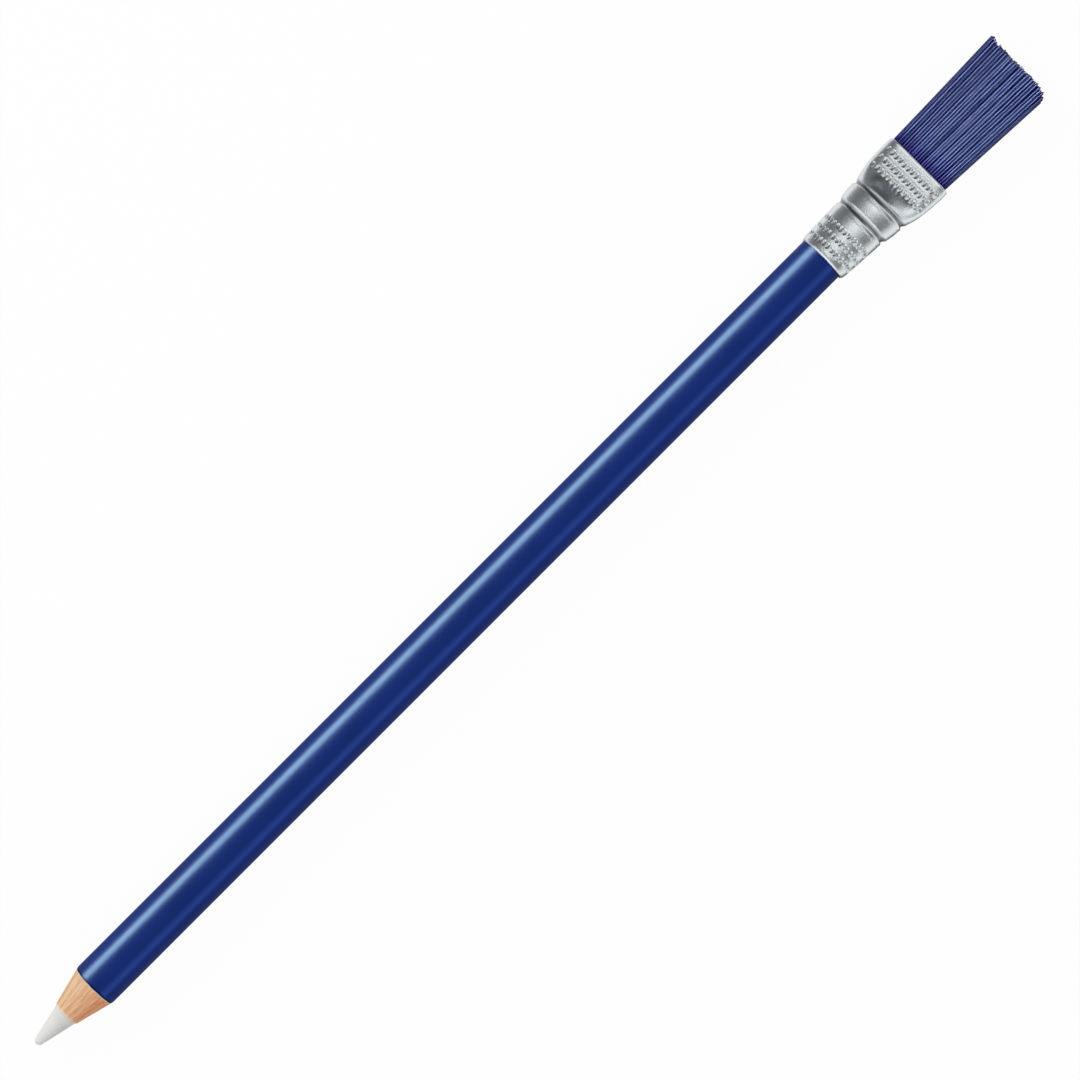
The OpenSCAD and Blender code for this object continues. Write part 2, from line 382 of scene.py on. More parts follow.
def make_primer():
    """The white undercoat, from the sharpened edge to the ferrule's rim."""
    profile = [
        (cone_x(WOOD_R), WOOD_R),
        (cone_x(LACQUER_BORE), LACQUER_BORE),
        (RIM_X, LACQUER_BORE),
        (RIM_X, WOOD_R),
    ]
    points = turned(profile, full_turn(COAT_COLUMNS), wander_front)
    return make_piece("primer", points, grid_faces(len(profile), COAT_COLUMNS))


def make_slat(name, side):
    """One wooden half, with fine ridges of grain on its sharpened cone and a chipped front edge."""
    cone = [(cone_x(r), r) for r in np.linspace(CHIP_R + CHIP_ROUND, WOOD_R, CONE_RINGS)]
    profile = [
        (CHIP_X + CHIP_BACK, WOOD_BORE - CHIP_DROP),
        (CHIP_X, CHIP_R - CHIP_DROP),
        *cone,
        (RIM_X, WOOD_R),
        (RIM_X, TENON_R),
        (BLANK_END, TENON_R),
        (BLANK_END, WOOD_BORE),
        (WOOD_FRONT + BORE_START, WOOD_BORE),
    ]
    edge = math.asin(FILM_T / 2 / BARREL_R)
    start = edge if side > 0 else math.pi + edge
    angles = np.linspace(start, start + math.pi - 2 * edge, SLAT_COLUMNS)

    def shift(x, r, angle):
        on_cone = (x < cone_x(WOOD_R) + MARGIN) & (r > WOOD_BORE - CHIP_DROP - MARGIN)
        spot = np.stack([x * GRAIN_STRETCH, GRAIN_R * np.cos(angle), GRAIN_R * np.sin(angle)], axis=-1)
        near_front = smooth(1 - (x - CHIP_X) / CHIP_FADE)
        near_coat = smooth((r - WOOD_R + COAT_FADE) / COAT_FADE)
        skew = CHIP_SKEW * (CHIP_SKEW_LEVEL - np.sin(angle))
        front = (layered(spot, CHIP_RAGS) + skew) * near_front + cut_wander(angle) * near_coat
        ridges = layered(spot, GRAIN_RIDGES) * (1 - near_coat)
        return np.where(on_cone, front, 0.0), np.where(on_cone, ridges, 0.0)

    points = turned(profile, angles, shift)
    faces = grid_faces(len(profile), len(angles), close_columns=False)
    for column in (0, len(angles) - 1):
        faces.append([row * len(angles) + column for row in range(len(profile))])
    return make_piece(name, points, faces)


def make_eraser():
    """The eraser core, with its tip rounded unevenly by use."""
    turns = np.linspace(0, math.pi / 2 - CORE_CONE, TIP_RINGS)
    profile = [(TIP_X + TIP_R - TIP_R * math.cos(a), TIP_R * math.sin(a)) for a in turns]
    last_x, last_r = profile[-1]
    cone_end = last_x + (CORE_R - last_r) / math.tan(CORE_CONE)
    for t in np.linspace(0.03, 1, CORE_CONE_RINGS):
        profile.append((between(last_x, cone_end, t), between(last_r, CORE_R, t)))
    profile += [(BLANK_END, CORE_R), (BLANK_END, 0.0)]

    def shift(x, r, angle):
        spot = np.stack([x, r * np.cos(angle), r * np.sin(angle)], axis=-1)
        worn = smooth(1 - (x - TIP_X - WORN_START) / WORN_LEN) * smooth(r / WORN_R)
        return np.zeros_like(x), (layered(spot, WORN_HOLLOWS) - WORN_DEPTH) * worn

    points = turned(profile, full_turn(CORE_COLUMNS), shift)
    return make_piece("eraser", points, grid_faces(len(profile), CORE_COLUMNS, close_rows=False))


# Ferrule


def leaned(points, shift=0.0):
    """Points of the head, moved sideways by its slight lean and by a shift."""
    moved = points.copy()
    moved[..., 1] -= HEAD_LEAN * np.maximum(points[..., 0] - RIM_X, 0.0) + shift
    return moved


def groove_dip(t):
    """Depth across a groove, whose wall on the barrel's side is the steeper one."""
    return GROOVE_DEPTH * np.sin(math.pi * t**GROOVE_BIAS) ** 2


def crease_dip(x):
    """Depth of the shallow creases pressed beside the grooves."""
    return sum(CREASE_DEPTH * np.exp(-(((x - middle) / CREASE_W) ** 2)) for middle in CREASES)


def groove_share(x):
    """How deep in a groove a place along the ferrule is, from 0 to 1."""
    for start in (SOCKET_LEN, BAND_END):
        if start < x < start + GROOVE_W:
            return groove_dip((x - start) / GROOVE_W) / GROOVE_DEPTH
    return 0.0


def round_radius(x):
    """Outside radius of the ferrule's round form at a place along it."""
    if x < SOCKET_LEN:
        return between(RIM_R, SOCKET_TOP_R, x / SOCKET_LEN)
    if x < BAND_X:
        t = (x - SOCKET_LEN) / GROOVE_W
        return between(SOCKET_TOP_R, BAND_START_R, t) - groove_dip(t)
    if x < BAND_END:
        t = (x - BAND_X) / BAND_LEN
        return between(BAND_START_R, BAND_R, t) + BAND_CROWN * math.sin(math.pi * t)
    if x < FLARE_X:
        t = (x - BAND_END) / GROOVE_W
        return between(BAND_R, FLARE_R, t) - groove_dip(t)
    t = (x - FLARE_X) / (FERRULE_LEN - FLARE_X)
    return between(FLARE_R, MOUTH_R, 1 - (1 - t) ** FLARE_CURVE)


def outline_radius(x, angles):
    """Outside radius of the ferrule at a place along it, by angle; its mouth is pressed flat."""
    rounded = np.full_like(angles, round_radius(x))
    share = (x - RAMP_X) / RAMP_LEN
    if share <= 0:
        return rounded
    rise = np.maximum(np.abs(np.sin(angles)), TINY)
    run = np.maximum(np.abs(np.cos(angles)), TINY)
    across = np.clip(MOUTH_T / 2 * np.cos(angles) / rise / FLAT_HALF_W, -1.0, 1.0)
    taper = FLAT_TAPER * min(1.0, (FERRULE_LEN - x) / FLAT_LEN) ** 2 * (1 + across) / 2
    half = MOUTH_T / 2 + taper - FLAT_CROWN * across**2
    flat_end = rounded - CORNER_R
    side_end = half - CORNER_R
    toward = flat_end * run + side_end * rise
    corner = toward + np.sqrt(np.maximum(CORNER_R**2 - flat_end**2 - side_end**2 + toward**2, 0.0))
    pressed = np.where(rounded / run * rise < side_end, rounded / run, corner)
    pressed = np.where(half / rise * run < flat_end, half / rise, pressed)
    return between(rounded, pressed, min(1.0, share) ** RAMP_CURVE)


def section(x):
    """The ferrule's outline across, at a place along it: evenly spaced (y, z) points."""
    angles = np.linspace(0, 2 * math.pi, SECTION_POINTS)
    radius = outline_radius(x, angles)
    y, z = radius * np.cos(angles), radius * np.sin(angles)
    run = np.concatenate([[0.0], np.cumsum(np.hypot(np.diff(y), np.diff(z)))])
    wanted = np.linspace(0, run[-1], FERRULE_COLUMNS, endpoint=False)
    return np.stack([np.interp(wanted, run, y), np.interp(wanted, run, z)], axis=-1)


def outward(line):
    """Outward normals of a closed outline of (y, z) points."""
    along = np.roll(line, -1, axis=0) - np.roll(line, 1, axis=0)
    along /= np.linalg.norm(along, axis=1)[:, None]
    return np.stack([along[:, 1], -along[:, 0]], axis=-1)


def ring_places():
    """Places of the ferrule's outside rings along it, closest where its marks and grooves are."""
    stretches = [
        (RIM_CURL, MARK_SPAN, FINE_STEP),
        (MARK_SPAN, SOCKET_LEN, PLAIN_STEP),
        (SOCKET_LEN, BAND_X, FINE_STEP),
        (BAND_X, BAND_END, PLAIN_STEP),
        (BAND_END, FLARE_X, FINE_STEP),
        (FLARE_X, FERRULE_LEN - MARK_SPAN, PLAIN_STEP / 2),
        (FERRULE_LEN - MARK_SPAN, FERRULE_LEN - LIP_ROUND, FINE_STEP),
    ]
    places = []
    for start, end, step in stretches:
        count = max(1, round((end - start) / step))
        places.extend(np.linspace(start, end, count, endpoint=False))
    return [*places, FERRULE_LEN - LIP_ROUND]


def mark_list(rng):
    """Every stamped mark: its row's place, its place across, its slant, its force and where it is."""
    marks = []
    for row in range(MARK_ROWS):
        x = MARK_EDGE + row * MARK_ROW_PITCH
        count = int(2 * math.pi * round_radius(x) / SOCKET_MARK_PITCH)
        for i in range(count):
            angle = (i + row / MARK_ROWS) * 2 * math.pi / count + rng.normal(0, 0.02)
            slant = SOCKET_MARK_SWING * math.cos(angle) + SOCKET_MARK_SLANT + rng.normal(0, 0.2)
            marks.append((x + rng.normal(0, 0.05), angle, slant, rng.uniform(*SOCKET_MARK_FORCE), "socket"))
    count = int(2 * (FLAT_HALF_W - FLAT_MARK_MARGIN) / FLAT_MARK_PITCH)
    for side in ("top", "bottom"):
        for row in range(MARK_ROWS):
            for i in range(count):
                y = (i - (count - 1) / 2) * FLAT_MARK_PITCH + rng.normal(0, 0.03)
                x = FERRULE_LEN - MARK_EDGE - row * MARK_ROW_PITCH + rng.normal(0, 0.03)
                slant = rng.normal(FLAT_MARK_SLANT, 0.12)
                marks.append((x, y, slant, rng.uniform(*FLAT_MARK_FORCE), side))
    return marks


def stamp(x, y, z, marks):
    """Depth of the stamped marks at each point, and the height of the burr raised round them."""
    depth = np.zeros_like(x)
    burr = np.zeros_like(x)
    angle = np.arctan2(z, y)
    for along, across, slant, force, where in marks:
        u = x - along
        if where == "socket":
            v = np.hypot(y, z) * ((angle - across + math.pi) % (2 * math.pi) - math.pi)
            near = (np.abs(u) < MARK_LEN) & (np.abs(v) < MARK_LEN)
        else:
            v = y - across
            near = (np.abs(u) < MARK_LEN) & (np.abs(v) < MARK_LEN) & ((z > 0) == (where == "top"))
        u, v = u[near], v[near]
        half_u = np.abs(2 * (u * math.cos(slant) + v * math.sin(slant)) / MARK_LEN)
        half_v = np.abs(2 * (v * math.cos(slant) - u * math.sin(slant)) / MARK_W)
        reach = (half_u**MARK_SQUARENESS + half_v**MARK_SQUARENESS) ** (1 / MARK_SQUARENESS)
        pit = force * MARK_DEPTH * np.clip(1 - reach**2, 0, 1) ** MARK_STEEPNESS
        depth[near] = np.maximum(depth[near], pit)
        burr[near] += BURR_HEIGHT * force * np.exp(-(((reach - BURR_REACH) / BURR_W) ** 2))
    return depth, burr


def dents(x, y, z, rng):
    """Shallow dents scattered over the plain metal."""
    depth = np.zeros_like(x)
    for _ in range(DENT_COUNT):
        along = rng.uniform(DENT_MARGIN, FERRULE_LEN - DENT_MARGIN)
        turn = rng.uniform(0, 2 * math.pi)
        dent_y = round_radius(along) * math.cos(turn)
        dent_z = round_radius(along) * math.sin(turn)
        far = np.sqrt((x - along) ** 2 + (y - dent_y) ** 2 + (z - dent_z) ** 2)
        deepest = rng.uniform(*DENT_DEPTH)
        depth += deepest * np.exp(-((far / rng.uniform(*DENT_R)) ** 2))
    return depth


def lip_arc(length, drop):
    """A rounded edge, as distances from the end and from the face that it leaves."""
    turns = np.radians((15, 30, 45, 60, 75, 90))
    return [(length * (1 - math.sin(a)), drop * (1 - math.cos(a))) for a in turns]


def make_ferrule():
    """The pressed ferrule: a closed skin that runs out over its outside and back inside."""
    rng = np.random.default_rng(FERRULE_SEED)
    outer = [(x, 0.0) for x in ring_places()]
    lip = lip_arc(LIP_ROUND, LIP_ROUND)
    mouth = [(FERRULE_LEN - back, inset) for back, inset in lip]
    mouth += [(FERRULE_LEN - back, WALL - inset) for back, inset in reversed(lip)]
    inner = [(x, WALL) for x in np.linspace(FERRULE_LEN - LIP_ROUND, LIP_ROUND, INNER_RINGS)]
    rim = [(back, WALL - inset) for back, inset in lip_arc(LIP_ROUND, WALL - RIM_CURL_IN)]
    rim += [(back, inset) for back, inset in reversed(lip_arc(RIM_CURL, RIM_CURL_IN))]
    rings = [*outer, *mouth, *inner, *rim]

    x = np.repeat(np.array([along for along, _ in rings])[:, None], FERRULE_COLUMNS, axis=1)
    lines = np.stack([section(along) for along, _ in rings])
    normals = np.stack([outward(line) for line in lines])
    y, z = lines[..., 0], lines[..., 1]
    shown = np.array([i < len(outer) for i in range(len(rings))])[:, None]
    depth, burr = stamp(x, y, z, mark_list(rng))
    depth = np.where(shown, depth + dents(x, y, z, rng) + crease_dip(x), 0.0)
    burr = np.where(shown, burr, 0.0)
    spot = np.stack([x, y, z], axis=-1)
    wave = np.where(shown, layered(spot, METAL_WAVES) - METAL_DROP, 0.0)
    inset = np.array([inset for _, inset in rings])[:, None]
    flare = LIP_RISE * normals[..., 1] ** 2 - LIP_SIDE_DROP * normals[..., 0] ** 2
    lift = flare * smooth((x - FERRULE_LEN + LIP_LEN) / (LIP_LEN - LIP_ROUND))
    move = wave + burr - depth - inset + lift
    moved_y = y + normals[..., 0] * move
    moved_z = AXIS_Z + z + normals[..., 1] * move
    points = np.stack([RIM_X + x, moved_y, moved_z], axis=-1)

    # Painted shade: the grooves and, a little, the marks' depths darken the metal through the recess
    # attribute
    groove = np.array([groove_share(along) for along, _ in rings])[:, None]
    recess = np.clip(MARK_SHADE * depth / MARK_DEPTH + groove * shown, 0.0, 1.0)
    faces = grid_faces(len(rings), FERRULE_COLUMNS)
    return make_piece("ferrule_shell", leaned(points, SEAT_SHIFT), faces, FERRULE_SHARP, {"recess": recess})


def make_filler():
    """The filler behind the bristles' roots: its node's shape, kept inside the pressed ferrule."""
    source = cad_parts["root_filler"]
    points = np.array([source.matrix_world @ v.co for v in source.data.vertices]) / MM
    for point in points:
        angle = np.array([math.atan2(point[2] - AXIS_Z, point[1])])
        room = outline_radius(point[0] - RIM_X, angle)[0] - WALL - FILM_T
        radius = math.hypot(point[1], point[2] - AXIS_Z)
        if radius > room:
            point[1] *= room / radius
            point[2] = AXIS_Z + (point[2] - AXIS_Z) * room / radius
    faces = [list(face.vertices) for face in source.data.polygons]
    return make_piece("filler", leaned(points, SEAT_SHIFT), faces)


# Brush


def is_outer(row):
    """Whether a row is one of the two that show on the brush's flats."""
    return row in (1, ROW_COUNT)


def row_places(row, z):
    """Places across of a row's roots; inner rows stand closer, in each other's gaps."""
    half_w = math.sqrt(ROOT_HALF_W**2 - (abs(z) + ROW_PITCH / 2) ** 2)
    half_w -= CORNER_TUCK * smooth((abs(z) / HEEL_R - TUCK_START) / TUCK_SPAN)
    if is_outer(row):
        return np.linspace(BRISTLE_R - half_w, half_w - BRISTLE_R, OUTER_COUNT)
    half = half_w / INNER_PITCH
    count = 2 * int(half) if row % 2 == 0 else 2 * int(half - 0.5) + 1
    return (np.arange(count) - (count - 1) / 2) * INNER_PITCH


def end_shortfall(across):
    """How far a bristle stops short of the longest ones, which stand in the +Y corner."""
    corner = CORNER_REACH * smooth((1 - across) / CORNER_SPAN)
    return corner + END_SLANT * ((1 - across) / 2) ** END_CURVE


def tone_span(row, at_edge):
    """The range of tones that a bristle's tone is drawn from; the inner rows' are darkened as painted shade
    between the outer rows, a little less at their edges.
    """
    if is_outer(row):
        return OUTER_TONES
    return EDGE_SHADE_TONES if at_edge else INNER_SHADE_TONES


def make_bristles(name, row):
    """One row of bristles, from inside the ferrule's mouth to their uneven ends."""
    rng = np.random.default_rng(BRISTLE_SEED + row)
    sides = BRISTLE_SIDES
    steps = np.concatenate([[-ROOT_DEPTH, -ROOT_RING], np.linspace(0, 1, BRISTLE_RINGS)])
    around = full_turn(sides)
    z0 = (row - (ROW_COUNT + 1) / 2) * ROW_PITCH
    points, faces, tone, along = [], [], [], []
    places = row_places(row, z0)
    for root in places:
        across = root / ROOT_HALF_W
        at_edge = abs(root) > places[-1] - INNER_PITCH / 2
        y0 = root + (rng.normal(0, OUTER_SCATTER) if is_outer(row) else 0.0)
        reach = BRISTLE_LEN - rng.uniform(0, END_SCATTER) - end_shortfall(across)
        x = np.where(steps > 0, steps * reach, steps)
        t = np.maximum(x, 0.0) / reach
        sway_y, sway_z = rng.normal(0, SWAY, 2)
        bow = rng.normal(0, BOW)
        y = y0 + reach * (SPLAY_W * across + BACK_LEAN) * t + sway_y * t**2 + bow * np.sin(math.pi * t)
        z = z0 + reach * SPLAY_T * z0 / HEEL_R * t + sway_z * t**2
        radius = BRISTLE_R * rng.uniform(*BRISTLE_R_SPAN)
        trim = rng.uniform(-TRIM_SLOPE, TRIM_SLOPE, 2)
        ring_y = radius * np.cos(around)
        ring_z = radius * np.sin(around)
        strand = np.zeros((len(x), sides, 3))
        strand[..., 0] = MOUTH_X + x[:, None]
        strand[..., 1] = y[:, None] + ring_y
        strand[..., 2] = AXIS_Z + z[:, None] + ring_z
        strand[-1, :, 0] -= np.abs(trim[0] * ring_y + trim[1] * ring_z)
        base = len(points) * len(x) * sides
        faces += [[base + k for k in f] for f in grid_faces(len(x), sides, close_rows=False)]
        faces.append([base + k for k in range(sides)])
        faces.append([base + (len(x) - 1) * sides + k for k in range(sides)])
        points.append(strand)
        shade = rng.uniform(*tone_span(row, at_edge))
        shade *= 1.0 if rng.random() < BRIGHT_SHARE else DULL_TONE
        tone.append(np.full((len(x), sides), shade))
        along.append(np.repeat(np.clip(x / BRISTLE_LEN, 0, 1)[:, None], sides, axis=1))
    attributes = {"tone": np.stack(tone), "along": np.stack(along)}
    return make_piece(name, leaned(np.stack(points)), faces, BRISTLE_SHARP, attributes)


# Materials


WHITE = (255, 255, 255)
WHOLE = (0.0, 1.0)


def srgb(red, green, blue):
    """A colour as a screen shows it, from 0 to 255, as a shader's colour."""
    def linear(v):
        v = v / 255
        return v / 12.92 if v <= 0.04045 else ((v + 0.055) / 1.055) ** 2.4
    return (linear(red), linear(green), linear(blue), 1.0)


def feed(tree, made, inputs):
    """Sets a node's inputs, which are values, or sockets to link from."""
    for key, value in inputs.items():
        if isinstance(value, bpy.types.NodeSocket):
            tree.links.new(value, made.inputs[key])
        else:
            made.inputs[key].default_value = value


def add(tree, kind, inputs=None, **settings):
    """A new node with its settings and inputs."""
    made = tree.nodes.new(kind)
    for key, value in settings.items():
        setattr(made, key, value)
    feed(tree, made, inputs or {})
    return made


def math_node(tree, operation, a, b):
    """A sum, a product or the like of two numbers."""
    return add(tree, "ShaderNodeMath", {0: a, 1: b}, operation=operation).outputs[0]


def vector_node(tree, operation, inputs):
    """A vector made from other vectors."""
    return add(tree, "ShaderNodeVectorMath", inputs, operation=operation).outputs[0]


def new_material(name):
    """A material with its node tree and its shader."""
    material = bpy.data.materials.new(name)
    material.use_nodes = True
    tree = material.node_tree
    return material, tree, tree.nodes["Principled BSDF"]


def mapped(tree, vector, **inputs):
    """A vector that is moved and stretched."""
    return add(tree, "ShaderNodeMapping", {"Vector": vector, **inputs}).outputs["Vector"]


def place(tree, stretch=(1, 1, 1)):
    """Object coordinates, stretched along the axes."""
    return mapped(tree, add(tree, "ShaderNodeTexCoord").outputs["Object"], Scale=stretch)


def place_round(tree, stretch):
    """Places along the pencil and round its axis, so that a grain runs straight down a cone."""
    coordinates = add(tree, "ShaderNodeTexCoord").outputs["Object"]
    spoke = mapped(tree, coordinates, Location=(0, 0, -AXIS_Z * MM), Scale=(0, 1, 1))
    spoke = vector_node(tree, "NORMALIZE", {0: spoke})
    ring = vector_node(tree, "SCALE", {0: spoke, "Scale": BARREL_R * MM})
    along = mapped(tree, coordinates, Scale=(stretch, 0, 0))
    return vector_node(tree, "ADD", {0: ring, 1: along})


def noise_map(tree, vector, scale, detail=3.0, rough=0.5):
    """Noise from 0 to 1, mostly from 0.3 to 0.7."""
    inputs = {"Vector": vector, "Scale": scale, "Detail": detail, "Roughness": rough}
    return add(tree, "ShaderNodeTexNoise", inputs).outputs["Fac"]


def ramp(tree, factor, *stops):
    """Colours along a factor from 0 to 1; each stop is a place and a colour from 0 to 255."""
    made = add(tree, "ShaderNodeValToRGB", {"Fac": factor})
    elements = made.color_ramp.elements
    for element, (position, colour) in zip(elements, (stops[0], stops[-1])):
        element.position = position
        element.color = srgb(*colour)
    for position, colour in stops[1:-1]:
        elements.new(position).color = srgb(*colour)
    return made.outputs["Color"]


def spread(tree, factor, low, high, source=(0.3, 0.7)):
    """A value between low and high, from a factor that mostly lies within source."""
    least, most = source
    inputs = {"Value": factor, "From Min": least, "From Max": most, "To Min": low, "To Max": high}
    return add(tree, "ShaderNodeMapRange", inputs).outputs["Result"]


def soft_step(tree, value, start, end):
    """Eases from 0 at start to 1 at end, which may be the lower one."""
    inputs = {"Value": value, "From Min": start, "From Max": end}
    return add(tree, "ShaderNodeMapRange", inputs, interpolation_type="SMOOTHSTEP").outputs["Result"]


def mix(tree, factor, a, b, blend="MIX"):
    """A colour mixed from two."""
    inputs = {0: factor, 6: a, 7: b}
    return add(tree, "ShaderNodeMix", inputs, data_type="RGBA", blend_type=blend).outputs[2]


def mix_value(tree, factor, a, b):
    """A number mixed from two."""
    return add(tree, "ShaderNodeMix", {0: factor, 2: a, 3: b}).outputs[0]


def bump(tree, height, distance, strength=1.0):
    """Normals of a finely uneven surface; distance is in metres."""
    inputs = {"Height": height, "Distance": distance, "Strength": strength}
    return add(tree, "ShaderNodeBump", inputs).outputs["Normal"]


def attribute(tree, name):
    """A value that the mesh carries."""
    return add(tree, "ShaderNodeAttribute", attribute_name=name).outputs["Fac"]


def lacquer_material():
    """Glossy blue, darker on the face that the sharpener left."""
    material, tree, shader = new_material("blue_lacquer")
    broad = noise_map(tree, place(tree), 90.0, 2.0)
    fine = noise_map(tree, place(tree, (0.4, 1, 1)), 700.0, 2.0)
    coat = ramp(tree, broad, (0.3, (21, 43, 115)), (0.7, (24, 46, 120)))
    feed(tree, shader, {
        "Base Color": mix(tree, attribute(tree, "cut"), coat, srgb(8, 16, 62)),
        "Roughness": spread(tree, fine, 0.30, 0.34),
        "Specular IOR Level": 0.05,
        "Specular Tint": (0.53, 0.86, 1.0, 1.0),
        "Normal": bump(tree, fine, 0.000002),
    })
    return material


def primer_material():
    """Dull white, which looks pinkish where it is shaved thin over the wood."""
    material, tree, shader = new_material("white_primer")
    grain = noise_map(tree, place(tree), 2500.0)
    feed(tree, shader, {
        "Base Color": ramp(tree, grain, (0.3, (214, 188, 170)), (0.7, (234, 210, 194))),
        "Roughness": 0.6,
        "Normal": bump(tree, grain, 0.00001),
    })
    return material


def wood_material():
    """Straight-grained wood, redder towards -Y, partly its own colour and partly painted shade, and paler
    at its chipped front.
    """
    material, tree, shader = new_material("pencil_wood")
    streaks = noise_map(tree, place_round(tree, 0.08), 4600.0, 3.0, 0.55)
    bands = noise_map(tree, place_round(tree, 0.02), 1000.0, 2.0)
    pores = noise_map(tree, place_round(tree, 0.12), 7000.0, 2.0)
    parts = add(tree, "ShaderNodeSeparateXYZ", {0: place(tree)})
    pale = ramp(tree, streaks, (0.3, (224, 176, 134)), (0.5, (243, 208, 172)), (0.7, (250, 226, 198)))
    red = ramp(tree, streaks, (0.3, (232, 132, 82)), (0.5, (252, 180, 130)), (0.7, (254, 208, 166)))
    # Redder towards -Y: partly the wood's own colour, partly painted shade on the side away from the key
    # light
    side = soft_step(tree, parts.outputs["Y"], 0.5 * BARREL_R * MM, -0.85 * BARREL_R * MM)
    colour = mix(tree, side, pale, red)
    tint = ramp(tree, bands, (0.36, (246, 226, 208)), (0.6, WHITE))
    colour = mix(tree, 1.0, colour, tint, "MULTIPLY")
    dark = ramp(tree, pores, (0.28, (214, 184, 158)), (0.42, WHITE))
    colour = mix(tree, 0.5, colour, dark, "MULTIPLY")
    edge = soft_step(tree, parts.outputs["X"], (CHIP_X + 0.45) * MM, CHIP_X * MM)
    feed(tree, shader, {
        "Base Color": mix(tree, spread(tree, edge, 0.0, 0.7, WHOLE), colour, srgb(248, 232, 218)),
        "Roughness": 0.75,
        "Specular IOR Level": 0.25,
        "Normal": bump(tree, streaks, 0.00003, 0.6),
    })
    return material


def eraser_material():
    """Matte white that lets a little light in."""
    material, tree, shader = new_material("white_eraser")
    broad = noise_map(tree, place(tree), 420.0, 3.0)
    fine = noise_map(tree, place(tree), 5200.0, 3.0)
    feed(tree, shader, {
        "Base Color": ramp(tree, broad, (0.3, (231, 230, 227)), (0.7, (241, 240, 237))),
        "Roughness": spread(tree, fine, 0.55, 0.7),
        "Specular IOR Level": 0.25,
        "Subsurface Weight": 0.15,
        "Subsurface Scale": 0.0006,
        "Normal": bump(tree, fine, 0.000012),
    })
    return material


def metal_material():
    """Bright pressed sheet, with painted shade in the grooves and a little in the marks."""
    material, tree, shader = new_material("pressed_aluminium")
    cloud = noise_map(tree, place(tree), 520.0, 4.0, 0.6)
    speckle = noise_map(tree, place(tree), 4000.0, 3.0, 0.6)
    bare = ramp(tree, cloud, (0.3, (231, 238, 242)), (0.7, (240, 246, 250)))
    # Painted shade in the grooves and marks, from the recess attribute
    painted_shade = spread(tree, attribute(tree, "recess"), 0.0, 0.85, WHOLE)
    feed(tree, shader, {
        "Base Color": mix(tree, painted_shade, bare, srgb(88, 92, 99)),
        "Metallic": 1.0,
        "Specular Tint": (0.85, 0.86, 0.87, 1.0),
        "Roughness": spread(tree, cloud, 0.15, 0.23),
        "Normal": bump(tree, speckle, 0.00004),
    })
    return material


def bristle_material():
    """Satin blue, more violet by the ferrule's mouth, with painted shadow of the ferrule that makes it
    darker and less glossy there.
    """
    material, tree, shader = new_material("blue_nylon")
    along = attribute(tree, "along")
    tone = attribute(tree, "tone")
    streak = noise_map(tree, place(tree, (0.05, 1, 1)), 3000.0, 2.0)
    # By the mouth the colour turns more violet and darker; the darkness is painted shadow of the ferrule
    root = ramp(tree, tone, (0.0, (24, 18, 96)), (1.0, (48, 42, 138)))
    # Low tones are the inner rows' painted shade
    free = ramp(tree, tone, (0.0, (12, 20, 82)), (0.6, (35, 45, 112)), (1.0, (45, 57, 128)))
    colour = mix(tree, spread(tree, along, 0.0, 1.0, (0.0, 0.18)), root, free)
    dull = ramp(tree, streak, (0.3, (215, 215, 225)), (0.7, WHITE))
    # Low tones, and so the inner rows' painted shade, also give less gloss
    shine = spread(tree, tone, 0.06, 0.62, WHOLE)
    # Less gloss by the mouth, as painted shadow of the ferrule
    shine = math_node(tree, "MULTIPLY", shine, spread(tree, along, 0.1, 1.0, (0.0, 0.14)))
    feed(tree, shader, {
        "Base Color": mix(tree, 1.0, colour, dull, "MULTIPLY"),
        "Roughness": spread(tree, streak, 0.23, 0.31),
        "Specular IOR Level": shine,
        "Specular Tint": (0.46, 0.58, 1.0, 1.0),
    })
    return material


def plain_material(name, low, high, scale, rough):
    """A dull set material with a fine mottle, for glue and filler."""
    material, tree, shader = new_material(name)
    mottle = noise_map(tree, place(tree), scale, 4.0)
    feed(tree, shader, {
        "Base Color": ramp(tree, mottle, (0.3, low), (0.7, high)),
        "Roughness": rough,
        "Normal": bump(tree, mottle, 0.00002),
    })
    return material


# Pieces on their bodies


def dress(piece, material, slot, *nodes):
    """Gives a piece its material, and hides the nodes that it stands for."""
    piece.data.materials.clear()
    piece.data.materials.append(material)
    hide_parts(*nodes)
    return piece


wood = wood_material()
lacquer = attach(dress(make_lacquer(), lacquer_material(), "lacquer", "lacquer_coat"), "pencil")
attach(dress(make_primer(), primer_material(), "primer", "primer_coat"), "pencil")
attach(dress(make_slat("slat_above", 1), wood, "wood", "upper_slat"), "pencil")
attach(dress(make_slat("slat_below", -1), wood, "wood", "lower_slat"), "pencil")
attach(dress(make_eraser(), eraser_material(), "eraser", "eraser_core"), "pencil")
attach(dress(make_ferrule(), metal_material(), "ferrule", "ferrule"), "pencil")

nylon = bristle_material()
tuft = []
for number, row_name in enumerate(ROW_NAMES, 1):
    bristles = dress(make_bristles(f"bristles_{number}", number), nylon, "bristles", row_name)
    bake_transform(bristles)
    tuft.append(bristles)

filler = plain_material("root_filler", (40, 38, 62), (66, 64, 92), 1100.0, 0.7)
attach(dress(make_filler(), filler, "filler", "root_filler"), "pencil")

glue = plain_material("set_glue", (196, 176, 128), (222, 206, 164), 900.0, 0.45)
for node_name in ("slat_glue", "ferrule_glue"):
    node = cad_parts[node_name]
    node.data.materials.clear()
    node.data.materials.append(glue)


